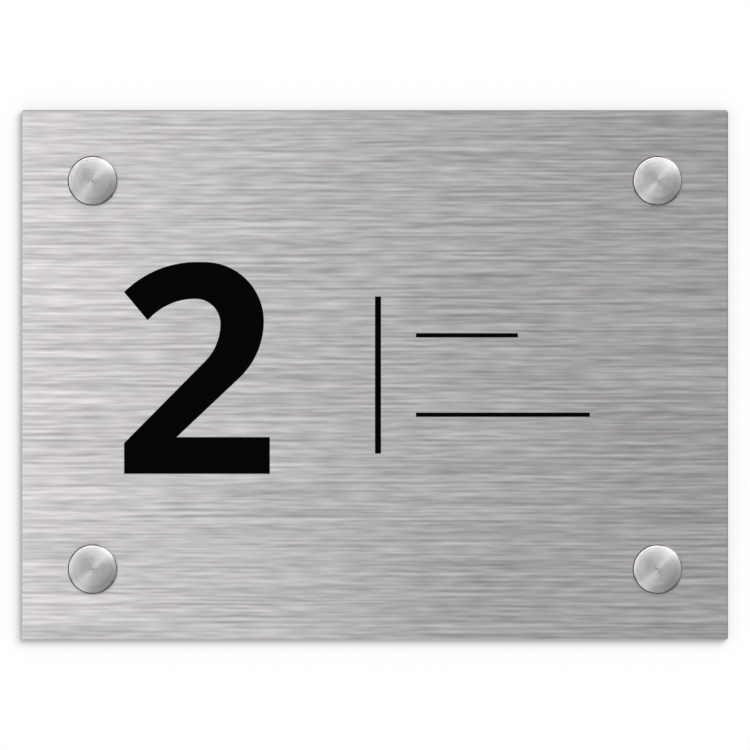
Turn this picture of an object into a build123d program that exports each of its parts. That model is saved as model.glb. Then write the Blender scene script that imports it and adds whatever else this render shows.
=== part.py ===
"""Door name plate: a brushed steel plate held on a door by four screws under turned two-part caps.

Millimetres. X runs along the plate, Z is up and the front faces -Y. The origin is the centre of the
plate's back face, which lies on the door. Heights in the cap profiles are measured out from the
plate's front face.
"""

from build123d import *
import os
from math import asin, atan2, cos, degrees, hypot, radians, sin, tan

# Plate
plate_width = 200.0
plate_height = 150.0
plate_thickness = 2.0
plate_corner_radius = 0.6
plate_edge_break = 0.25
hole_inset = 20.0  # from the plate's edges to the centre of each hole

# Countersunk wood screw
screw_length = 30.0
screw_head_diameter = 7.0
screw_head_angle = 90.0
screw_neck_diameter = 2.5
screw_thread_diameter = 3.5
screw_point_length = 4.5
screw_tip_diameter = 0.4
screw_recess_span = 3.6
screw_recess_width = 0.9
screw_recess_depth = 1.3
screw_recess_taper = 8.0  # degrees
thread_setback = 0.3  # from the plate's back to the first turn of the thread

# Soft washer under each cap's seat
washer_thickness = 0.4

# Seat ring: countersunk for the screw, threaded outside for the cap
seat_rim = 1.4  # flat ring left around the countersink

# Cap
cap_wall = 1.9
cap_face = 1.15
cap_rim_radius = 1.4
cap_rim_bevels = 3  # turned one after another round the rim
pip_diameter = 0.6
pip_height = 0.12

# Fits
plate_hole_clearance = 0.5  # all the way round the screw's thread
seat_hole_clearance = 0.2  # all the way round the screw's thread
head_sink = 0.1  # screw head below the seat ring's face
cap_thread_clearance = 0.1  # all the way round the seat ring
cap_headroom = 0.2  # from the seat ring to the inside of the cap's face

# Black film cut-outs on the front
film_thickness = 0.1
number_margin = 28.9  # from the plate's left edge
number_rise = 2.0  # middle of the figure above the middle of the plate
divider_width = 1.7
divider_height = 44.5
line_width = 1.2
line_gap = 9.9  # from the divider
line_pitch = 22.5
upper_line_length = 28.9
lower_line_length = 49.3

# Outline of the figure 2, measured from its lower left corner
number_height = 60.0
number_width = 41.3
number_bar = 10.4  # height of the foot bar and of the stroke over the bowl
number_side = 12.3  # stroke on the right of the bowl
number_bowl_inset = 1.7  # from the end of the foot bar to the right of the bowl
number_heel = 8.7  # height of the left end of the diagonal
number_corner = 14.9  # where the diagonal meets the top of the foot bar
number_crown_flat = 2.3
outer_bowl_radius = 16.8
outer_side_radius = 22.0
inner_bowl_radius = 7.1
inner_side_radius = 15.1
terminal_drop = 8.5  # from the top to the outer corner of the stroke's cut end
terminal_run = 6.7
terminal_fall = 8.0

# Sizes that follow from the ones above
hole_pitch_x = plate_width - 2 * hole_inset
hole_pitch_z = plate_height - 2 * hole_inset
head_radius = screw_head_diameter / 2
neck_radius = screw_neck_diameter / 2
thread_radius = screw_thread_diameter / 2
plate_hole_radius = thread_radius + plate_hole_clearance
seat_hole_radius = thread_radius + seat_hole_clearance
head_slope = tan(radians(screw_head_angle / 2))
countersink_radius = head_radius + head_sink * head_slope
seat_height = (countersink_radius - seat_hole_radius) / head_slope  # all of it countersunk
seat_radius = countersink_radius + seat_rim
seat_top = washer_thickness + seat_height
head_top = seat_top - head_sink
cap_bore_radius = seat_radius + cap_thread_clearance
cap_radius = cap_bore_radius + cap_wall
cap_ceiling = seat_top + cap_headroom
cap_height = cap_ceiling + cap_face

corners = {
    "upper_left": (-hole_pitch_x / 2, hole_pitch_z / 2),
    "upper_right": (hole_pitch_x / 2, hole_pitch_z / 2),
    "lower_left": (-hole_pitch_x / 2, -hole_pitch_z / 2),
    "lower_right": (hole_pitch_x / 2, -hole_pitch_z / 2),
}


def front_plane(x=0.0, z=0.0, height=0.0):
    """Plane on the plate's front, at a height out from it, with its own x along X and its y up."""
    return Plane(origin=(x, -plate_thickness - height, z), x_dir=(1, 0, 0), z_dir=(0, -1, 0))


def profile_plane(x, z):
    """Plane through a screw's axis: its own x is the radius and its y the height out from the plate."""
    return Plane(origin=(x, -plate_thickness, z), x_dir=(1, 0, 0), z_dir=(0, 0, -1))


def screw_axis(x, z):
    """Axis of one screw, pointing out of the plate's front."""
    return Axis((x, -plate_thickness, z), (0, -1, 0))


def rim_corner(bevel):
    """Radius and height of the corner where one of the rim's bevels starts, from the cap's side up."""
    turn = radians(90 * bevel / cap_rim_bevels)
    inward = cap_rim_radius * (1 - cos(turn))
    below_face = cap_rim_radius * (1 - sin(turn))
    return (cap_radius - inward, cap_height - below_face)


def write(piece, name):
    """Label a finished piece and write it under that name."""
    piece.label = name
    export_step(piece, f"parts/{name}.step")


os.makedirs("parts", exist_ok=True)

# Plate with its four screw holes
with BuildPart() as plate:
    with BuildSketch(Plane.XZ):
        RectangleRounded(plate_width, plate_height, plate_corner_radius)
    extrude(amount=plate_thickness)
    chamfer(plate.faces().sort_by(Axis.Y)[0].edges(), plate_edge_break)
    with BuildSketch(Plane.XZ):
        with GridLocations(hole_pitch_x, hole_pitch_z, 2, 2):
            Circle(plate_hole_radius)
    extrude(amount=plate_thickness, mode=Mode.SUBTRACT)
write(plate.part, "plate")

# Soft washer, seat ring and cap at each corner
for corner, (corner_x, corner_z) in corners.items():
    with BuildPart() as soft_washer:
        with BuildSketch(front_plane(corner_x, corner_z)):
            Circle(seat_radius)
            Circle(plate_hole_radius, mode=Mode.SUBTRACT)
        extrude(amount=washer_thickness)
    write(soft_washer.part, f"soft_washer_{corner}")

    with BuildPart() as cap_seat:
        with BuildSketch(front_plane(corner_x, corner_z, washer_thickness)):
            Circle(seat_radius)
        extrude(amount=seat_height)
        with Locations(front_plane(corner_x, corner_z, seat_top)):
            CounterSinkHole(seat_hole_radius, countersink_radius, counter_sink_angle=screw_head_angle)
    write(cap_seat.part, f"cap_seat_{corner}")

    with BuildPart() as cap:
        with BuildSketch(profile_plane(corner_x, corner_z)):
            with BuildLine():
                Polyline(
                    (0, cap_ceiling),
                    (cap_bore_radius, cap_ceiling),
                    (cap_bore_radius, 0),
                    (cap_radius, 0),
                    *[rim_corner(bevel) for bevel in range(cap_rim_bevels + 1)],
                    (pip_diameter / 2, cap_height),
                    (pip_diameter / 2, cap_height + pip_height),
                    (0, cap_height + pip_height),
                    close=True,
                )
            make_face()
        revolve(axis=screw_axis(corner_x, corner_z))
    write(cap.part, f"cap_{corner}")

# Wall screws, four alike
with BuildPart() as wall_screws:
    for corner_x, corner_z in corners.values():
        thread_start = -plate_thickness - thread_setback
        screw_tip = head_top - screw_length
        with BuildSketch(profile_plane(corner_x, corner_z)):
            with BuildLine():
                Polyline(
                    (0, head_top),
                    (head_radius, head_top),
                    (neck_radius, head_top - (head_radius - neck_radius) / head_slope),
                    (neck_radius, thread_start),
                    (thread_radius, thread_start),
                    (thread_radius, screw_tip + screw_point_length),
                    (screw_tip_diameter / 2, screw_tip),
                    (0, screw_tip),
                    close=True,
                )
            make_face()
        revolve(axis=screw_axis(corner_x, corner_z))
        with BuildSketch(front_plane(corner_x, corner_z, head_top)):
            Rectangle(screw_recess_span, screw_recess_width)
            Rectangle(screw_recess_width, screw_recess_span)
        extrude(amount=-screw_recess_depth, taper=screw_recess_taper, mode=Mode.SUBTRACT)
write(wall_screws.part, "wall_screws")


def lean_angle(foot, centre, radius):
    """Angle in degrees of the straight line from foot that just touches a circle's right side."""
    run = centre[0] - foot[0]
    rise = centre[1] - foot[1]
    return degrees(atan2(rise, run) - asin(radius / hypot(run, rise)))


# Figure 2: two bowls of arcs that run off along straight diagonals to the foot bar
with BuildPart() as house_number:
    number_left = number_margin - plate_width / 2
    number_bottom = number_rise - number_height / 2
    with BuildSketch(front_plane(number_left, number_bottom)):
        with BuildLine():
            bowl_right = number_width - number_bowl_inset
            outer_centre = (bowl_right - outer_bowl_radius, number_height - outer_bowl_radius)
            outer_side_centre = (bowl_right - outer_side_radius, outer_centre[1])
            outer_foot = (number_corner, number_bar)
            outer_lean = lean_angle(outer_foot, outer_side_centre, outer_side_radius)
            crown = (outer_centre[0] - number_crown_flat, number_height)
            outer_side = CenterArc(outer_side_centre, outer_side_radius, outer_lean - 90, 90 - outer_lean)
            CenterArc(outer_centre, outer_bowl_radius, 0, 90)
            Line((outer_centre[0], number_height), crown)
            Line(outer_foot, outer_side @ 0)

            inner_right = bowl_right - number_side
            inner_top = number_height - number_bar
            inner_centre = (inner_right - inner_bowl_radius, inner_top - inner_bowl_radius)
            inner_side_centre = (inner_right - inner_side_radius, inner_centre[1])
            heel = (0, number_heel)
            inner_lean = lean_angle(heel, inner_side_centre, inner_side_radius)
            inner_side = CenterArc(inner_side_centre, inner_side_radius, inner_lean - 90, 90 - inner_lean)
            CenterArc(inner_centre, inner_bowl_radius, 0, 90)
            Line(heel, inner_side @ 0)

            terminal_outer = (0, number_height - terminal_drop)
            terminal_inner = (terminal_run, number_height - terminal_drop - terminal_fall)
            TangentArc(crown, terminal_outer, tangent=(-1, 0))
            Line(terminal_outer, terminal_inner)
            TangentArc((inner_centre[0], inner_top), terminal_inner, tangent=(-1, 0))

            Polyline(heel, (0, 0), (number_width, 0), (number_width, number_bar), outer_foot)
        make_face()
    extrude(amount=film_thickness)
write(house_number.part, "house_number")

# Upright bar on the plate's middle line
with BuildPart() as divider_bar:
    with BuildSketch(front_plane()):
        Rectangle(divider_width, divider_height, align=(Align.MIN, Align.CENTER))
    extrude(amount=film_thickness)
write(divider_bar.part, "divider_bar")

# Plain ruled lines beside the bar
line_left = divider_width + line_gap
ruled_lines = {
    "upper_name_line": (upper_line_length, line_pitch / 2),
    "lower_name_line": (lower_line_length, -line_pitch / 2),
}
for name, (line_length, line_height) in ruled_lines.items():
    with BuildPart() as name_line:
        with BuildSketch(front_plane(line_left, line_height)):
            Rectangle(line_length, line_width, align=(Align.MIN, Align.CENTER))
        extrude(amount=film_thickness)
    write(name_line.part, name)
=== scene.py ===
"""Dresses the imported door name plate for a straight-on studio picture.

The plate, its film figures and the soft washers keep their solids and get finishes. The caps, their
seat rings and the wall screws are rebuilt with the rounding, turning marks and threads of real ones.
Metres, in the model's own frame: X along the plate, Z up, the front facing -Y.
"""

import logging
import math
from abc import ABC, abstractmethod
from dataclasses import dataclass, field
from enum import Enum
from typing import Callable, Mapping, Optional, Sequence, Union

import bmesh
import bpy
from mathutils import Matrix, Vector


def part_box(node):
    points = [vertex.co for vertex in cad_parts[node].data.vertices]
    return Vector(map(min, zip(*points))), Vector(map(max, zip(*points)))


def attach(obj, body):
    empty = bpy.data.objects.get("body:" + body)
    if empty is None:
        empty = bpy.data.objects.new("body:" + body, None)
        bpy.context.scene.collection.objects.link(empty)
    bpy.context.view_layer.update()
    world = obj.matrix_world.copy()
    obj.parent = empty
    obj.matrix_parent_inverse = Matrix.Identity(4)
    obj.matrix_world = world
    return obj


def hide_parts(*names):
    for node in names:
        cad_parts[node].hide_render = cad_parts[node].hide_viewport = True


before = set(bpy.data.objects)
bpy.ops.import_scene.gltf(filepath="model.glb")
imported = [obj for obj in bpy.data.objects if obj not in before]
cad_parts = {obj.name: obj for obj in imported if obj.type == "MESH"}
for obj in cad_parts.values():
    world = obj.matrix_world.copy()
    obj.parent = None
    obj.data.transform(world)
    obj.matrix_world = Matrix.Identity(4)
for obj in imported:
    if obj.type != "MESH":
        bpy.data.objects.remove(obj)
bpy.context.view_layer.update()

BODY = "root"
MM = 0.001
ACROSS = 0.25  # quarter turn from the grooves to the way their gloss spreads
EVEN = 1.0  # a patch of noise so long that nothing changes along it
NOISE = (0.2, 0.8)  # where nearly all of a noise's values lie
FIRST_REFLECTION = 1.5  # ray depth that a ray's first reflection stays under
UNSCATTERED = 0.5  # diffuse depth that a ray stays under until it meets a matt surface
LOG = logging.getLogger("name_plate")

Socket = bpy.types.NodeSocket
Colour = tuple[float, float, float]
Size = tuple[float, float, float]
Span = tuple[float, float]
Value = Union[Socket, float, Colour, Size]
Inputs = Mapping[Union[str, int], Value]
ProfilePoint = tuple[float, float]
Relief = Callable[[float, float, float], ProfilePoint]


class Corner(Enum):
    """The corners of the plate, each with a screw under a cap."""

    UPPER_LEFT = "upper_left"
    UPPER_RIGHT = "upper_right"
    LOWER_LEFT = "lower_left"
    LOWER_RIGHT = "lower_right"


class Layer(Enum):
    """The noises of the finishes, each read at its own place so that no two are alike."""

    DRIFT = 1.0
    LONG_STREAKS = 2.0
    SHORT_STREAKS = 3.0
    HAIRLINES = 4.0
    TURNING = 5.0
    SMUDGES = 6.0
    BRASS = 7.0
    NYLON = 8.0
    ZINC = 9.0
    FILM = 10.0


def opaque(colour: Colour) -> tuple[float, float, float, float]:
    """The colour with a full alpha, as node sockets take it."""
    return (*colour, 1.0)


class NodeGraph:
    """A node tree, with short calls for the nodes that the finishes and the studio share."""

    def __init__(self, tree: bpy.types.NodeTree) -> None:
        """Takes over a tree and empties it."""
        self.tree = tree
        self.tree.nodes.clear()

    def add(self, kind: str, inputs: Optional[Inputs] = None, **options: object) -> bpy.types.Node:
        """Adds one node.

        Args:
            kind: Blender's name for the node type.
            inputs: what goes into the node's sockets, by name or number; a socket is linked.
            options: settings of the node itself.

        Returns:
            The new node.
        """
        node = self.tree.nodes.new(kind)
        for option, setting in options.items():
            setattr(node, option, setting)
        for key, value in (inputs or {}).items():
            if isinstance(value, Socket):
                self.tree.links.new(value, node.inputs[key])
            else:
                node.inputs[key].default_value = value
        return node

    def math(self, operation: str, first: Value, second: Value = 0.0) -> Socket:
        """One sum, product or other operation on two numbers."""
        return self.add("ShaderNodeMath", {0: first, 1: second}, operation=operation).outputs[0]

    def span(self, amount: Value, source: Span, target: Span) -> Socket:
        """The amount moved in a straight line from one range to another, and held at its ends."""
        inputs = {1: source[0], 2: source[1], 3: target[0], 4: target[1]}
        return self.add("ShaderNodeMapRange", {0: amount, **inputs}).outputs[0]

    def blend(self, share: Socket, first: Value, second: Value) -> Socket:
        """The first number where the share is 0, and the second where it is 1."""
        return self.add("ShaderNodeMix", {"Factor": share, "A": first, "B": second}).outputs[0]

    def weigh(self, first: Socket, second: Socket, share: float) -> Socket:
        """Two numbers added up, the first by its share and the second by the rest."""
        rest = self.math("MULTIPLY", second, 1 - share)
        return self.math("ADD", self.math("MULTIPLY", first, share), rest)

    def point(self) -> Socket:
        """The point on the piece, in metres of the piece's own frame."""
        return self.add("ShaderNodeTexCoord").outputs["Object"]

    def sides(self, vector: Socket) -> Mapping[str, Socket]:
        """The X, Y and Z of a vector."""
        return self.add("ShaderNodeSeparateXYZ", {0: vector}).outputs

    def vector(self, sides: Inputs) -> Socket:
        """A vector from its X, Y and Z, of which those left out are 0."""
        return self.add("ShaderNodeCombineXYZ", sides).outputs[0]

    def along(self, vector: Socket, axis: Size) -> Socket:
        """How far a vector goes along an axis."""
        product = self.add("ShaderNodeVectorMath", {0: vector, 1: axis}, operation="DOT_PRODUCT")
        return product.outputs["Value"]

    def noise(self, point: Socket, patch: Size, layer: Layer, octaves: float = 0.0) -> Socket:
        """Soft noise around a half.

        Args:
            point: where it is read.
            patch: size of one patch along X, Y and Z, in metres.
            layer: which of the noises it is.
            octaves: how many finer octaves are added.

        Returns:
            A socket from about 0 to 1.
        """
        scale = tuple(1 / side for side in patch)
        place = {"Vector": point, "Location": (layer.value,) * 3, "Scale": scale}
        scaled = self.add("ShaderNodeMapping", place).outputs[0]
        inputs = {"Vector": scaled, "Scale": 1.0, "Detail": octaves}
        return self.add("ShaderNodeTexNoise", inputs).outputs[0]

    def shade(self, colour: Colour, strength: Value) -> Socket:
        """The colour made lighter or darker by a number around 1."""
        inputs = {0: colour, "Scale": strength}
        return self.add("ShaderNodeVectorMath", inputs, operation="SCALE").outputs[0]

    def bump(self, height: Socket, depth: float) -> Socket:
        """A normal bent by a height of 0 to 1 that stands for a depth in metres."""
        return self.add("ShaderNodeBump", {"Height": height, "Distance": depth, "Strength": 1.0}).outputs[0]


class MaterialGraph(NodeGraph):
    """The node tree of one new material."""

    def __init__(self, name: str) -> None:
        """Makes the material and starts its tree empty.

        Args:
            name: the material's name.
        """
        self.material = bpy.data.materials.new(name)
        self.material.use_nodes = True
        super().__init__(self.material.node_tree)

    def close(self, shader: bpy.types.Node) -> bpy.types.Material:
        """Joins the shader to the output and returns the material."""
        self.add("ShaderNodeOutputMaterial", {"Surface": shader.outputs[0]})
        return self.material

    def close_clear(self, strength: Socket) -> bpy.types.Material:
        """Closes the tree as a light that hides nothing behind it.

        Args:
            strength: how bright the light is.

        Returns:
            The material.
        """
        glow = self.add("ShaderNodeEmission", {"Strength": strength})
        clear = self.add("ShaderNodeBsdfTransparent")
        return self.close(self.add("ShaderNodeAddShader", {0: glow.outputs[0], 1: clear.outputs[0]}))


@dataclass(frozen=True)
class Finish(ABC):
    """A finish that the record names, and the material that shows it."""

    slot: str

    @abstractmethod
    def make(self) -> bpy.types.Material:
        """Builds the finish's material."""


@dataclass(frozen=True)
class BrushedSteel(Finish):
    """Steel sheet brushed along the plate's length, with duller cut edges."""

    slot: str = "brushed_plate"
    tone: Colour = (0.63, 0.608, 0.632)
    swing: float = 0.3955  # how much lighter and darker the streaks go
    swing_values: Span = (0.15, 0.85)  # of the streaks' noise, for the whole swing
    long_patch: Size = (57 * MM, EVEN, 0.86 * MM)
    short_patch: Size = (8.5 * MM, EVEN, 0.86 * MM)
    hairline_patch: Size = (30 * MM, EVEN, 0.13 * MM)
    drift_patch: Size = (45 * MM, EVEN, 8 * MM)
    wander: float = 0.4 * MM  # how far the drift bends the streaks up and down
    long_share: float = 0.58  # of the streaks, with short ones for the rest
    streak_share: float = 0.85  # of the grain, with hairlines for the rest
    groove_depth: float = 0.002 * MM
    roughness: Span = (0.2, 0.27)
    anisotropy: float = 0.75
    facing: Span = (0.5, 0.95)  # the normal's Y on the cut edges and on the brushed faces
    edge_contrast: float = 0.3
    edge_roughness: float = 0.42

    def make(self) -> bpy.types.Material:
        """Builds the finish's material.

        Returns:
            The new material.
        """
        graph = MaterialGraph("brushed_steel")
        point = graph.point()
        drift = graph.noise(point, self.drift_patch, Layer.DRIFT)
        offset = graph.vector({"Z": graph.span(drift, (0, 1), (-self.wander, self.wander))})
        bent = graph.add("ShaderNodeVectorMath", {0: point, 1: offset}, operation="ADD").outputs[0]
        long = graph.noise(bent, self.long_patch, Layer.LONG_STREAKS)
        short = graph.noise(bent, self.short_patch, Layer.SHORT_STREAKS)
        hairline = graph.noise(point, self.hairline_patch, Layer.HAIRLINES)
        streak = graph.weigh(long, short, self.long_share)
        grain = graph.weigh(streak, hairline, self.streak_share)
        face = self._face(graph)
        calm = graph.span(face, (0, 1), (self.edge_contrast, 1.0))
        change = graph.span(streak, self.swing_values, (-self.swing, self.swing))
        strength = graph.math("ADD", graph.math("MULTIPLY", change, calm), 1.0)
        gloss = graph.span(grain, NOISE, self.roughness)
        shader = graph.add(
            "ShaderNodeBsdfPrincipled",
            {
                "Base Color": graph.shade(self.tone, strength),
                "Metallic": 1.0,
                "Roughness": graph.blend(face, self.edge_roughness, gloss),
                "Anisotropic": self.anisotropy,
                "Anisotropic Rotation": ACROSS,
                "Tangent": graph.add("ShaderNodeTangent", direction_type="RADIAL", axis="Z").outputs[0],
                "Normal": graph.bump(grain, self.groove_depth),
            },
        )
        return graph.close(shader)

    def _face(self, graph: MaterialGraph) -> Socket:
        """Tells the plate's brushed faces from its cut edges.

        Args:
            graph: the tree of the finish's material.

        Returns:
            A socket that is 1 on the faces and 0 on the edges.
        """
        normal = graph.add("ShaderNodeTexCoord").outputs["Normal"]
        outward = graph.math("ABSOLUTE", graph.sides(normal)["Y"])
        return graph.span(outward, self.facing, (0, 1))


@dataclass(frozen=True)
class TurnedSteel(Finish):
    """Turned steel: fine rings round the axis, a polished pip and rim, and painted shade on the rim's side.
    """

    slot: str = "turned_cap"
    tone: Colour = (0.635, 0.617, 0.635)
    ring_patch: Size = (0.28 * MM, 0.28 * MM, EVEN)
    ring_octaves: float = 2.0
    ring_tints: Span = (0.83, 1.13)
    groove_depth: float = 0.002 * MM
    smudge_patch: Size = (3 * MM, 3 * MM, 3 * MM)
    smudge_octaves: float = 1.0
    smudge_tints: Span = (-0.03, 0.03)
    roughness: Span = (0.3, 0.38)
    anisotropy: float = 0.85
    polish: float = 0.12  # roughness of the pip and the rim
    pip: Span = (0.24 * MM, 0.32 * MM)  # radii over which the pip turns into the face
    rim: Span = (6.52 * MM, 6.64 * MM)  # the face into the rim
    side: Span = (6.64 * MM, 6.74 * MM)  # the rim's top into its side, darkened there by painted shade
    # painted shade: share of the colour left on the rim's side, a dark ring in place of the shadow round
    # the cap's foot
    painted_rim_shade: float = 0.6
    wall: Span = (6.92 * MM, 6.98 * MM)  # the rim into the upright wall
    wall_roughness: float = 0.4

    def make(self) -> bpy.types.Material:
        """Builds the finish's material.

        Returns:
            The new material.
        """
        graph = MaterialGraph("turned_steel")
        point = graph.point()
        sides = graph.sides(point)
        flat = graph.vector({"X": sides["X"], "Z": sides["Z"]})
        radius = graph.add("ShaderNodeVectorMath", {0: flat}, operation="LENGTH").outputs["Value"]
        ring_point = graph.vector({"X": radius, "Y": sides["Y"]})
        rings = graph.noise(ring_point, self.ring_patch, Layer.TURNING, self.ring_octaves)
        smudge = graph.noise(point, self.smudge_patch, Layer.SMUDGES, self.smudge_octaves)
        on_rim = graph.span(radius, self.rim, (0, 1))
        on_pip = graph.span(radius, self.pip, (1, 0))
        on_wall = graph.span(radius, self.wall, (0, 1))
        gloss = graph.span(rings, NOISE, self.roughness)
        gloss = graph.blend(graph.math("MAXIMUM", on_rim, on_pip), gloss, self.polish)
        ringed = graph.span(rings, NOISE, self.ring_tints)
        tint = graph.math("ADD", ringed, graph.span(smudge, NOISE, self.smudge_tints))
        # painted shade: the rim's side is darkened towards the upright wall, drawing a dark outline round
        # the cap
        dark = graph.span(radius, self.side, (1.0, self.painted_rim_shade))
        tint = graph.math("MULTIPLY", tint, graph.blend(on_wall, dark, 1.0))
        shader = graph.add(
            "ShaderNodeBsdfPrincipled",
            {
                "Base Color": graph.shade(self.tone, tint),
                "Metallic": 1.0,
                "Roughness": graph.blend(on_wall, gloss, self.wall_roughness),
                "Anisotropic": self.anisotropy,
                "Anisotropic Rotation": ACROSS,
                "Tangent": graph.add("ShaderNodeTangent", direction_type="RADIAL", axis="Y").outputs[0],
                "Normal": graph.bump(rings, self.groove_depth),
            },
        )
        return graph.close(shader)


@dataclass(frozen=True)
class GrainedFinish(Finish):
    """A finish with one fine noise in its colour, its gloss and its surface."""

    name: str
    layer: Layer
    tone: Colour
    patch: float
    octaves: float
    tints: Span
    roughness: Span
    depth: float
    values: Span = NOISE
    metallic: float = 0.0
    specular: float = 0.5

    def make(self) -> bpy.types.Material:
        """Builds the finish's material.

        Returns:
            The new material.
        """
        graph = MaterialGraph(self.name)
        grain = graph.noise(graph.point(), (self.patch,) * 3, self.layer, self.octaves)
        shader = graph.add(
            "ShaderNodeBsdfPrincipled",
            {
                "Base Color": graph.shade(self.tone, graph.span(grain, self.values, self.tints)),
                "Metallic": self.metallic,
                "Roughness": graph.span(grain, self.values, self.roughness),
                "Specular IOR Level": self.specular,
                "Normal": graph.bump(grain, self.depth),
            },
        )
        return graph.close(shader)


@dataclass(frozen=True)
class TurnedBrass(GrainedFinish):
    """Bright turned brass."""

    slot: str = "seat_brass"
    name: str = "turned_brass"
    layer: Layer = Layer.BRASS
    tone: Colour = (0.72, 0.56, 0.28)
    patch: float = 0.5 * MM
    octaves: float = 2.0
    tints: Span = (0.9, 1.08)
    roughness: Span = (0.22, 0.4)
    depth: float = 0.002 * MM
    metallic: float = 1.0


@dataclass(frozen=True)
class MouldedNylon(GrainedFinish):
    """Off-white nylon with a faint moulded grain."""

    slot: str = "nylon_washer"
    name: str = "moulded_nylon"
    layer: Layer = Layer.NYLON
    tone: Colour = (0.82, 0.82, 0.78)
    patch: float = 0.3 * MM
    octaves: float = 2.0
    tints: Span = (0.95, 1.03)
    roughness: Span = (0.45, 0.6)
    depth: float = 0.004 * MM


@dataclass(frozen=True)
class ZincPlating(GrainedFinish):
    """Bright zinc on a rolled screw, a little uneven."""

    slot: str = "zinc_screw"
    name: str = "zinc_plating"
    layer: Layer = Layer.ZINC
    tone: Colour = (0.66, 0.665, 0.655)
    patch: float = 2 * MM
    octaves: float = 3.0
    tints: Span = (0.82, 1.08)
    roughness: Span = (0.24, 0.42)
    depth: float = 0.01 * MM
    values: Span = (0.25, 0.75)
    metallic: float = 1.0


@dataclass(frozen=True)
class CutFilm(GrainedFinish):
    """Black film with a faint orange peel."""

    slot: str = "black_film"
    name: str = "cut_film"
    layer: Layer = Layer.FILM
    tone: Colour = (0.0006, 0.0006, 0.0007)
    patch: float = 0.6 * MM
    octaves: float = 1.0
    tints: Span = (0.7, 1.3)
    roughness: Span = (0.5, 0.62)
    depth: float = 0.003 * MM
    specular: float = 0.02


@dataclass(frozen=True)
class Lathe:
    """Turns profiles about a piece's own axis, which points out of the plate's front."""

    segments: int
    sharp_angle: float = 35.0

    def turn(self, name: str, profile: Sequence[ProfilePoint], relief: Relief) -> bpy.types.Mesh:
        """Makes a mesh from a profile.

        Args:
            name: the mesh's name.
            profile: radius and height of each point, in order along the piece's surface.
            relief: gives the radius and height that a point has at a share of the turn.

        Returns:
            The mesh, with its origin on the axis.
        """
        shape = bmesh.new()
        rings = [self._ring(shape, radius, height, relief) for radius, height in profile]
        for upper, lower in zip(rings, rings[1:]):
            for step in range(self.segments):
                following = (step + 1) % self.segments
                corners = [upper[step % len(upper)], upper[following % len(upper)]]
                corners += [lower[following % len(lower)], lower[step % len(lower)]]
                shape.faces.new(list(dict.fromkeys(corners)))
        bmesh.ops.recalc_face_normals(shape, faces=shape.faces)
        mesh = bpy.data.meshes.new(name)
        shape.to_mesh(mesh)
        shape.free()
        mesh.shade_smooth()
        mesh.set_sharp_from_angle(angle=math.radians(self.sharp_angle))
        return mesh

    def _ring(
        self, shape: bmesh.types.BMesh, radius: float, height: float, relief: Relief
    ) -> list[bmesh.types.BMVert]:
        """Adds the points of one turn, or one point on the axis.

        Args:
            shape: the mesh that is being made.
            radius: the profile's radius.
            height: the profile's height.
            relief: gives the radius and height that a point has at a share of the turn.

        Returns:
            The new points, in order round the axis.
        """
        count = self.segments if radius > 0 else 1
        points = []
        for step in range(count):
            share = step / count
            new_radius, new_height = relief(radius, height, share)
            angle = math.tau * share
            place = (new_radius * math.cos(angle), -new_height, new_radius * math.sin(angle))
            points.append(shape.verts.new(place))
        return points


def plain(radius: float, height: float, share: float) -> ProfilePoint:
    """The relief of a piece that is the same all the way round."""
    return radius, height


def steps(start: float, end: float, count: int) -> list[float]:
    """Evenly spaced values from start to end, both included."""
    return [start + (end - start) * step / count for step in range(count + 1)]


def ridge(turns: float, foot: float, crest: float) -> float:
    """Height of a thread's ridge at a point, from 0 at its foot to 1 along its crest.

    Args:
        turns: where the point is, in pitches; each crest lies half way between two whole numbers.
        foot: share of the pitch that the ridge takes at its foot.
        crest: share of the pitch that its crest takes.

    Returns:
        The share of the thread's height.
    """
    away = abs(turns - math.floor(turns) - 0.5)
    return min(1.0, max(0.0, (foot / 2 - away) / (foot / 2 - crest / 2)))


def place(
    name: str, mesh: bpy.types.Mesh, origin: Vector, finish: Finish, material: bpy.types.Material
) -> bpy.types.Object:
    """Puts a rebuilt piece in the scene, on the object's one body.

    Args:
        name: the piece's name.
        mesh: its mesh.
        origin: where the mesh's own origin goes.
        finish: not used.
        material: the finish's material.

    Returns:
        The new object.
    """
    piece = bpy.data.objects.new(name, mesh)
    bpy.context.scene.collection.objects.link(piece)
    piece.location = origin
    mesh.materials.append(material)
    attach(piece, BODY)
    LOG.info("built %s with %d points", name, len(mesh.vertices))
    return piece


def dress(node: str, material: bpy.types.Material) -> None:
    """Gives a CAD node its finish's material.

    Args:
        node: the node's name.
        material: the finish's material.
    """
    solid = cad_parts[node]
    solid.data.materials.clear()
    solid.data.materials.append(material)
    LOG.info("dressed %s", node)


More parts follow.
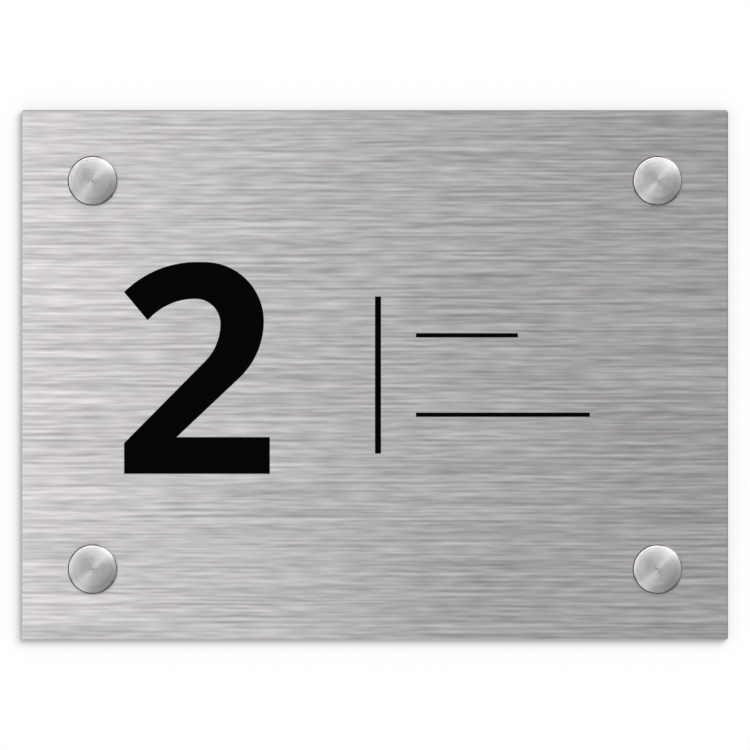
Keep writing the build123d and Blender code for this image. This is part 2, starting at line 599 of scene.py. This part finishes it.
@dataclass
class ScrewCap:
    """One turned cap: a rounded rim, a ringed face with the lathe's pip, and a plain bore."""

    corner: Corner
    bore_radius: float = 5.1 * MM
    ceiling: float = 2.25 * MM
    face: float = 3.4 * MM
    face_radius: float = 6.62 * MM
    base_break: float = 0.2 * MM
    pip_radius: float = 0.24 * MM
    pip_tip: float = 0.12 * MM
    crown: float = 0.5 * MM
    crown_power: int = 4
    ring_depth: float = 0.012 * MM
    ring_rate: float = 9.1  # this rate and the next two are in radians to a millimetre
    beat_rate: float = 2.3  # of the slow change in the rings' depth
    fine_rate: float = 17.3  # of the finer rings between them
    beat_phase: float = 0.6
    fine_phase: float = 1.1
    fine_share: float = 0.7
    face_rings: int = 120
    rim_rings: int = 18
    lathe: Lathe = Lathe(160)

    @property
    def node(self) -> str:
        """The CAD node that this cap stands for."""
        return f"cap_{self.corner.value}"

    @property
    def axis(self) -> Vector:
        """Where the cap's axis leaves the plate's front."""
        low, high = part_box(self.node)
        return Vector(((low.x + high.x) / 2, high.y, (low.z + high.z) / 2))

    def build(self, finish: Finish, material: bpy.types.Material) -> bpy.types.Object:
        """Builds the cap in place of its solid.

        Args:
            finish: handed on to place.
            material: the finish's material.

        Returns:
            The new cap.
        """
        mesh = self.lathe.turn(self.node, self._profile(), plain)
        cap = place(f"turned_{self.node}", mesh, self.axis, finish, material)
        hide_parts(self.node)
        return cap

    def _face_height(self, radius: float) -> float:
        """Height of the ringed face, with its shallow crown.

        Args:
            radius: the distance from the axis.

        Returns:
            The height over the plate's front.
        """
        out = radius / MM
        coarse = math.sin(self.ring_rate * out) * math.sin(self.beat_rate * out + self.beat_phase)
        fine = self.fine_share * math.sin(self.fine_rate * out + self.fine_phase)
        fall = self.crown * (radius / self.face_radius) ** self.crown_power
        return self.face - fall - self.ring_depth * (1 + (coarse + fine) / 2)

    def _profile(self) -> list[ProfilePoint]:
        """Draws the cap's section from the pip round the rim and back under the face.

        Returns:
            The radius and height of each point.
        """
        low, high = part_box(self.node)
        outer = (high.x - low.x) / 2
        pip_top = high.y - low.y
        edge_height = self._face_height(self.face_radius)
        lean = math.atan(self.crown * self.crown_power / self.face_radius)
        rim_radius = (outer - self.face_radius) / (1 - math.sin(lean))
        points = [(0.0, pip_top), (self.pip_tip, pip_top)]
        for radius in steps(self.pip_radius, self.face_radius, self.face_rings):
            points.append((radius, self._face_height(radius)))
        for turn in steps(lean, math.pi / 2, self.rim_rings)[1:]:
            across = rim_radius * (math.sin(turn) - math.sin(lean))
            drop = rim_radius * (math.cos(lean) - math.cos(turn))
            points.append((self.face_radius + across, edge_height - drop))
        points += [(outer, self.base_break), (outer - self.base_break, 0.0), (self.bore_radius, 0.0)]
        points += [(self.bore_radius, self.ceiling), (0.0, self.ceiling)]
        return points


@dataclass
class SeatRing:
    """The ring under one cap: countersunk for the screw and threaded outside for the cap."""

    corner: Corner
    hole_radius: float = 1.95 * MM
    countersink_radius: float = 3.6 * MM
    thread_depth: float = 0.2 * MM
    pitch: float = 0.5 * MM
    ridge_foot: float = 0.9  # share of the pitch, as is the next
    ridge_crest: float = 0.15
    rings_per_pitch: int = 14
    lathe: Lathe = Lathe(96, 50.0)
    outer: float = field(init=False, default=0.0)  # radius, read from the solid

    def build(self, finish: Finish, material: bpy.types.Material) -> bpy.types.Object:
        """Builds the ring in place of its solid.

        Args:
            finish: handed on to place.
            material: the finish's material.

        Returns:
            The new ring.
        """
        node = f"cap_seat_{self.corner.value}"
        low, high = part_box(node)
        self.outer = (high.x - low.x) / 2
        middle = Vector(((low.x + high.x) / 2, high.y, (low.z + high.z) / 2))
        mesh = self.lathe.turn(node, self._profile(high.y - low.y), self._relief)
        ring = place(f"threaded_{node}", mesh, middle, finish, material)
        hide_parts(node)
        return ring

    def _profile(self, height: float) -> list[ProfilePoint]:
        """Draws the ring's section from the lip of its countersink down its side and back.

        Args:
            height: the ring's height.

        Returns:
            The radius and height of each point.
        """
        lip = (self.countersink_radius, height)
        rings = round(self.rings_per_pitch * height / self.pitch)
        side = [(self.outer, level) for level in steps(height, 0, rings)]
        return [lip, *side, (self.hole_radius, 0.0), lip]

    def _relief(self, radius: float, height: float, share: float) -> ProfilePoint:
        """Cuts the thread into the ring's side.

        Args:
            radius: the profile's radius.
            height: the profile's height.
            share: how far round the turn the point is, from 0 to 1.

        Returns:
            The point's own radius and height.
        """
        if radius < self.outer:
            return radius, height
        raised = ridge(height / self.pitch - share, self.ridge_foot, self.ridge_crest)
        return radius - self.thread_depth * (1 - raised), height


@dataclass
class WallScrew:
    """One countersunk wood screw with a cross recess, standing for its share of the screws' node."""

    corner: Corner
    axis: Vector
    head_radius: float = 3.5 * MM
    head_land: float = 0.15 * MM
    neck_radius: float = 1.25 * MM
    core_radius: float = 1.15 * MM
    thread_radius: float = 1.75 * MM
    thread_start: float = 0.3 * MM
    point_length: float = 4.5 * MM
    tip_radius: float = 0.2 * MM
    pitch: float = 1.6 * MM
    ridge_foot: float = 0.5  # share of the pitch, as is the next
    ridge_crest: float = 0.08
    recess_span: float = 3.6 * MM
    recess_width: float = 0.9 * MM
    recess_depth: float = 1.3 * MM
    recess_slope: float = 0.2 * MM  # how far the recess's sides lean in over its depth
    head_rings: int = 28
    rings_per_pitch: int = 24
    lathe: Lathe = Lathe(48, 50.0)
    head_top: float = field(init=False, default=0.0)  # this and the next two are read from the solids
    tip: float = field(init=False, default=0.0)
    run_in: float = field(init=False, default=0.0)

    def build(self, finish: Finish, material: bpy.types.Material) -> bpy.types.Object:
        """Builds the screw, with its head towards the front.

        Args:
            finish: handed on to place.
            material: the finish's material.

        Returns:
            The new screw.
        """
        low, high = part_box("wall_screws")
        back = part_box("plate")[1].y
        self.head_top = self.axis.y - low.y
        self.tip = self.axis.y - high.y
        self.run_in = self.axis.y - back - self.thread_start
        mesh = self.lathe.turn(f"screw_{self.corner.value}", self._profile(), self._relief)
        return place(f"wall_screw_{self.corner.value}", mesh, self.axis, finish, material)

    def _profile(self) -> list[ProfilePoint]:
        """Draws the screw's section, without its thread, from the middle of the head to the tip.

        Returns:
            The radius and height of each point.
        """
        points = [(radius, self.head_top) for radius in steps(0, self.head_radius, self.head_rings)]
        cone = self.head_top - self.head_land
        points += [(self.head_radius, cone), (self.neck_radius, cone - self.head_radius + self.neck_radius)]
        rings = round((self.run_in - self.tip) / self.pitch * self.rings_per_pitch)
        points += [(self.core_radius, level) for level in steps(self.run_in, self.tip, rings)]
        points.append((0.0, self.tip))
        return points

    def _relief(self, radius: float, height: float, share: float) -> ProfilePoint:
        """Sinks the cross into the head and raises the thread on the shank.

        Args:
            radius: the profile's radius.
            height: the profile's height.
            share: how far round the turn the point is, from 0 to 1.

        Returns:
            The point's own radius and height.
        """
        if height == self.head_top:
            return radius, height - self._recess(radius, share)
        if height > self.run_in or radius == 0:
            return radius, height
        taper = min(1.0, (height - self.tip) / self.point_length)
        start = min(1.0, (self.run_in - height) / self.pitch)
        core = self.tip_radius + (self.core_radius - self.tip_radius) * taper
        crest = self.tip_radius + (self.thread_radius - self.tip_radius) * taper
        raised = ridge(height / self.pitch - share, self.ridge_foot, self.ridge_crest) * start
        return core + (crest - core) * raised, height

    def _recess(self, radius: float, share: float) -> float:
        """Depth of the cross at a point of the head's top.

        Args:
            radius: the point's distance from the axis.
            share: how far round the turn the point is, from 0 to 1.

        Returns:
            The depth, which is 0 outside the cross.
        """
        across = radius * abs(math.cos(math.tau * share))
        along = radius * abs(math.sin(math.tau * share))
        half_span, half_width = self.recess_span / 2, self.recess_width / 2
        level_slot = min(half_span - across, half_width - along)
        upright_slot = min(half_width - across, half_span - along)
        inside = max(level_slot, upright_slot) / self.recess_slope
        return self.recess_depth * min(1.0, max(0.0, inside))


@dataclass
class NamePlate:
    """The whole object: the plate and its film, and a cap, ring, washer and screw at each corner."""

    film_nodes: tuple[str, ...] = ("house_number", "divider_bar", "upper_name_line", "lower_name_line")
    plate_finish: Finish = BrushedSteel()
    film_finish: Finish = CutFilm()
    cap_finish: Finish = TurnedSteel()
    seat_finish: Finish = TurnedBrass()
    washer_finish: Finish = MouldedNylon()
    screw_finish: Finish = ZincPlating()

    def build(self) -> None:
        """Dresses the solids that stay and builds the pieces that replace the others."""
        dress("plate", self.plate_finish.make())
        film = self.film_finish.make()
        for node in self.film_nodes:
            dress(node, film)
        self._build_corners()

    def _build_corners(self) -> None:
        """Builds what holds the plate at its four corners."""
        cap_steel = self.cap_finish.make()
        brass = self.seat_finish.make()
        nylon = self.washer_finish.make()
        zinc = self.screw_finish.make()
        for corner in Corner:
            cap = ScrewCap(corner)
            cap.build(self.cap_finish, cap_steel)
            SeatRing(corner).build(self.seat_finish, brass)
            dress(f"soft_washer_{corner.value}", nylon)
            WallScrew(corner, cap.axis).build(self.screw_finish, zinc)
        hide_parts("wall_screws")


@dataclass
class Backdrop:
    """The white wall behind the plate, which shows only from the front and keeps the plate's shadow."""

    reach: float = 3.0
    setback: float = 0.3 * MM
    white: float = 0.8
    glow: float = 0.25

    def build(self) -> None:
        """Builds the wall just behind the plate's back."""
        half = self.reach / 2
        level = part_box("plate")[1].y + self.setback
        corners = [(-half, level, -half), (half, level, -half), (half, level, half), (-half, level, half)]
        mesh = bpy.data.meshes.new("backdrop")
        mesh.from_pydata(corners, [], [(0, 1, 2, 3)])
        wall = bpy.data.objects.new("backdrop", mesh)
        bpy.context.scene.collection.objects.link(wall)
        mesh.materials.append(self._paint())
        LOG.info("built the backdrop")

    def _paint(self) -> bpy.types.Material:
        """Makes white paint for the camera's rays that meet the front, and nothing for the rest.

        Returns:
            The new material.
        """
        graph = MaterialGraph("backdrop_white")
        paint = graph.add("ShaderNodeBsdfDiffuse", {"Color": opaque((self.white,) * 3)})
        glow = graph.add("ShaderNodeEmission", {"Strength": self.glow})
        wall = graph.add("ShaderNodeAddShader", {0: paint.outputs[0], 1: glow.outputs[0]})
        seen = graph.add("ShaderNodeLightPath").outputs["Is Camera Ray"]
        behind = graph.add("ShaderNodeNewGeometry").outputs["Backfacing"]
        shown = graph.math("MULTIPLY", seen, graph.math("SUBTRACT", 1.0, behind))
        clear = graph.add("ShaderNodeBsdfTransparent")
        surface = {0: shown, 1: clear.outputs[0], 2: wall.outputs[0]}
        return graph.close(graph.add("ShaderNodeMixShader", surface))


def bearing(turn: float, tilt: float) -> Size:
    """The way from the plate at a turn clockwise from straight up and a tilt from its axis, in degrees."""
    around, away = math.radians(turn), math.radians(tilt)
    return math.sin(around) * math.sin(away), -math.cos(away), math.cos(around) * math.sin(away)


@dataclass(frozen=True)
class SoftBox:
    """A soft round patch of light on the dome.

    Its place is given in degrees: the turn clockwise from straight up, as the camera sees it, the tilt
    away from the plate's axis, and the reach from the middle of the patch to its edge.
    """

    turn: float
    tilt: float
    reach: float
    level: float

    @property
    def direction(self) -> Size:
        """The way from the plate to the middle of the patch."""
        return bearing(self.turn, self.tilt)


@dataclass
class LightDome:
    """Soft light that the metal reflects and nothing else sees.

    The caps and the other small pieces reflect a dome with soft boxes and a dark horizon, of the same
    pattern before and behind. The plate reflects a calmer dome, a panel before it that grades its tone
    from left to right, and a band round its edges that lights their bevels.
    """

    radius: float = 10.0
    plate_radius: float = 9.9
    divisions: int = 3
    base: float = 0.3
    horizon: Span = (46.0, 51.0)  # degrees from its axis over which the light above it ends
    horizon_axis: Size = bearing(120, 10)
    horizon_level: float = 0.02
    rear_limit: float = 1.3  # the most light behind the plate
    front_limit: float = 10.0  # more than the boxes give, so that none is cut
    plate_floor: float = 0.2
    plate_limit: float = 0.76
    boxes: tuple[SoftBox, ...] = (
        SoftBox(17, 39, 29, 2.4),
        SoftBox(58, 42, 26, 1.2),
        SoftBox(101, 50, 19, 0.4),
        SoftBox(172, 48, 18, 0.5),
        SoftBox(212, 33, 16, 1.5),
        SoftBox(240, 31, 20, 0.9),
        SoftBox(292, 57, 39, 5.8),
        SoftBox(335, 52, 29, 4.9),
    )
    low_boxes: tuple[SoftBox, ...] = (
        SoftBox(42, 72, 30, 2.2),
        SoftBox(95, 75, 35, 0.35),
        SoftBox(290, 70, 8, 1.6),
    )
    panel_distance: float = 1.0
    panel_half: Span = (0.8, 1.5)
    panel_ramp: Span = (-0.357, 0.229)  # X over which the panel's light goes down to its base
    panel_base: float = 0.122
    panel_level: float = 2.35
    panel_bend: float = 2.8
    panel_fall: Span = (-0.45, -0.22)  # X over which the panel's limit rises
    panel_limits: Span = (0.12, 1.05)
    band_half: float = 0.35
    band_segments: int = 64
    band_level: float = 0.38
    band_lean: Size = (-0.45, 0.0, -0.26)  # how much the band's light grows to a metre

    def build(self) -> None:
        """Hangs the two domes, the panel and the band, and links each to what reflects it."""
        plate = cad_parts["plate"]
        all_but_plate = bpy.data.collections.new("cap_lights")
        all_but_plate.objects.link(plate)
        all_but_plate.collection_objects[0].light_linking.link_state = "EXCLUDE"
        dome = self._hang("dome", self._ball(self.radius), self._dome_light())
        dome.light_linking.receiver_collection = all_but_plate
        plate_alone = bpy.data.collections.new("plate_lights")
        plate_alone.objects.link(plate)
        plate_lights = (
            self._hang("plate_dome", self._ball(self.plate_radius), self._plate_dome_light()),
            self._hang("panel", self._panel(), self._panel_light()),
            self._hang("band", self._band(), self._band_light()),
        )
        for light in plate_lights:
            light.light_linking.receiver_collection = plate_alone

    def _ball(self, radius: float) -> bmesh.types.BMesh:
        """Makes a ball round the object, for a light that comes from every side.

        Args:
            radius: the ball's radius.

        Returns:
            The ball's shape.
        """
        ball = bmesh.new()
        bmesh.ops.create_icosphere(ball, subdivisions=self.divisions, radius=radius)
        return ball

    def _panel(self) -> bmesh.types.BMesh:
        """Makes the flat panel before the plate.

        Returns:
            The panel's shape.
        """
        across, up = self.panel_half
        level = -self.panel_distance
        corners = [(-across, level, -up), (across, level, -up), (across, level, up), (-across, level, up)]
        panel = bmesh.new()
        panel.faces.new([panel.verts.new(corner) for corner in corners])
        return panel

    def _band(self) -> bmesh.types.BMesh:
        """Makes the band round the plate's axis.

        Returns:
            The band's shape.
        """
        band = bmesh.new()
        bmesh.ops.create_cone(
            band,
            segments=self.band_segments,
            radius1=self.panel_distance,
            radius2=self.panel_distance,
            depth=2 * self.band_half,
            cap_ends=False,
        )
        bmesh.ops.rotate(band, matrix=Matrix.Rotation(math.pi / 2, 3, "X"), verts=band.verts)
        return band

    def _hang(self, name: str, shape: bmesh.types.BMesh, material: bpy.types.Material) -> bpy.types.Object:
        """Puts a light in the scene that only glossy rays meet.

        Args:
            name: the light's name.
            shape: its shape, which is used up.
            material: what makes it shine.

        Returns:
            The new light.
        """
        mesh = bpy.data.meshes.new(name)
        shape.to_mesh(mesh)
        shape.free()
        light = bpy.data.objects.new(name, mesh)
        bpy.context.scene.collection.objects.link(light)
        mesh.materials.append(material)
        material.cycles.emission_sampling = "NONE"
        light.visible_camera = False
        light.visible_diffuse = False
        light.visible_shadow = False
        LOG.info("hung the %s", name)
        return light

    def _dome_light(self) -> bpy.types.Material:
        """Makes the dome's whole light, for the caps and the other small pieces.

        Returns:
            The new material.
        """
        graph = MaterialGraph("dome_light")
        strength = self._dome_strength(graph, 0.0, self.front_limit)
        return graph.close(graph.add("ShaderNodeEmission", {"Strength": strength}))

    def _plate_dome_light(self) -> bpy.types.Material:
        """Makes the dome's light without its brightest and darkest parts, for the plate."""
        graph = MaterialGraph("plate_dome_light")
        return graph.close_clear(self._dome_strength(graph, self.plate_floor, self.plate_limit))

    def _dome_strength(self, graph: MaterialGraph, floor: float, front_limit: float) -> Socket:
        """Works out a dome's light: even light and soft boxes down to the horizon, and low boxes below it.

        Args:
            graph: the tree of the dome's material.
            floor: the least light from any side.
            front_limit: the most light before the plate.

        Returns:
            The strength, which is 0 for rays that have met a matt surface.
        """
        sides = graph.sides(graph.point())
        front = graph.math("MULTIPLY", graph.math("ABSOLUTE", sides["Y"]), -1.0)
        mirrored = graph.vector({"X": sides["X"], "Y": front, "Z": sides["Z"]})
        way = graph.add("ShaderNodeVectorMath", {0: mirrored}, operation="NORMALIZE").outputs[0]
        level = graph.math("ADD", self._patches(graph, way, self.boxes), self.base)
        inner, outer = (math.cos(math.radians(angle)) for angle in self.horizon)
        open_sky = graph.span(graph.along(way, self.horizon_axis), (outer, inner), (0, 1))
        above = graph.math("MULTIPLY", level, open_sky)
        low = graph.math("ADD", self._patches(graph, way, self.low_boxes), self.horizon_level)
        whole = graph.math("MAXIMUM", graph.math("ADD", above, low), floor)
        behind = graph.math("GREATER_THAN", sides["Y"], 0.0)
        limit = graph.span(behind, (0, 1), (front_limit, self.rear_limit))
        depth = graph.add("ShaderNodeLightPath").outputs["Diffuse Depth"]
        direct = graph.math("LESS_THAN", depth, UNSCATTERED)
        return graph.math("MULTIPLY", direct, graph.math("MINIMUM", whole, limit))

    def _patches(self, graph: MaterialGraph, way: Socket, boxes: Sequence[SoftBox]) -> Socket:
        """Adds up the light of some soft boxes.

        Args:
            graph: the tree of the dome's material.
            way: the way from the plate.
            boxes: the soft boxes.

        Returns:
            The light from that way.
        """
        total: Value = 0.0
        for box in boxes:
            near = graph.along(way, box.direction)
            edge = math.cos(math.radians(box.reach))
            total = graph.math("ADD", total, graph.span(near, (edge, 1.0), (0, box.level)))
        return total

    def _panel_light(self) -> bpy.types.Material:
        """Makes the panel's light, which grows towards the left up to a limit and then fades.

        Returns:
            The new material.
        """
        graph = MaterialGraph("panel_light")
        sideways = graph.sides(graph.point())["X"]
        share = graph.math("POWER", graph.span(sideways, self.panel_ramp, (1, 0)), self.panel_bend)
        level = graph.span(share, (0, 1), (self.panel_base, self.panel_base + self.panel_level))
        limit = graph.span(sideways, self.panel_fall, self.panel_limits)
        return self._first_light(graph, graph.math("MINIMUM", level, limit))

    def _band_light(self) -> bpy.types.Material:
        """Makes the band's light, which grows towards the left as well, and a little towards the foot.

        Returns:
            The new material.
        """
        graph = MaterialGraph("band_light")
        growth = graph.along(graph.point(), self.band_lean)
        return self._first_light(graph, graph.math("ADD", growth, self.band_level))

    def _first_light(self, graph: MaterialGraph, level: Socket) -> bpy.types.Material:
        """Closes the tree of a light that shows only in the first reflection of the camera's rays.

        Args:
            graph: the tree of the light's material.
            level: how bright the light is.

        Returns:
            The material.
        """
        depth = graph.add("ShaderNodeLightPath").outputs["Ray Depth"]
        first = graph.math("LESS_THAN", depth, FIRST_REFLECTION)
        return graph.close_clear(graph.math("MULTIPLY", first, level))


@dataclass
class Studio:
    """Light, surroundings and camera for a straight-on picture."""

    frame_width: float = 212.5 * MM
    camera_distance: float = 4.0
    sensor_width: float = 36.0
    key_direction: Size = (0.57, -0.89, 0.57)
    key_spread: float = 50.0
    key_strength: float = 2.18
    ambient: float = 0.425

    def build(self) -> None:
        """Sets up everything round the object."""
        bpy.context.scene.view_settings.view_transform = "Standard"
        Backdrop().build()
        LightDome().build()
        self._surround()
        self._key()
        self._camera()

    def _surround(self) -> None:
        """Sets white for what the camera and the metal see, and a softer fill for the rest."""
        world = bpy.data.worlds.new("white_studio")
        world.use_nodes = True
        bpy.context.scene.world = world
        graph = NodeGraph(world.node_tree)
        path = graph.add("ShaderNodeLightPath").outputs
        seen = graph.math("MAXIMUM", path["Is Camera Ray"], path["Is Glossy Ray"])
        seen = graph.math("MAXIMUM", seen, path["Is Transmission Ray"])
        strength = graph.span(seen, (0, 1), (self.ambient, 1.0))
        sky = graph.add("ShaderNodeBackground", {"Color": opaque((1.0, 1.0, 1.0)), "Strength": strength})
        graph.add("ShaderNodeOutputWorld", {"Surface": sky.outputs[0]})
        LOG.info("set the surroundings")

    def _key(self) -> None:
        """Hangs a broad soft light at the upper right, which casts the shadow on the wall."""
        lamp = bpy.data.lights.new("key", "SUN")
        lamp.energy = self.key_strength
        lamp.angle = math.radians(self.key_spread)
        key = bpy.data.objects.new("key", lamp)
        bpy.context.scene.collection.objects.link(key)
        key.visible_glossy = False
        key.rotation_euler = (-Vector(self.key_direction)).to_track_quat("-Z", "Y").to_euler()
        LOG.info("hung the key light")

    def _camera(self) -> None:
        """Sets up a long lens straight in front of the plate."""
        lens = bpy.data.cameras.new("camera")
        lens.sensor_width = self.sensor_width
        lens.lens = self.sensor_width * self.camera_distance / self.frame_width
        camera = bpy.data.objects.new("camera", lens)
        bpy.context.scene.collection.objects.link(camera)
        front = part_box("plate")[0].y
        camera.location = (0.0, front - self.camera_distance, 0.0)
        camera.rotation_euler = (math.pi / 2, 0.0, 0.0)
        bpy.context.scene.camera = camera
        LOG.info("set the camera")


def main() -> None:
    """Builds the object and the studio in order."""
    logging.basicConfig(level=logging.INFO, format="%(name)s: %(message)s")
    NamePlate().build()
    Studio().build()


if __name__ == "__main__":
    main()
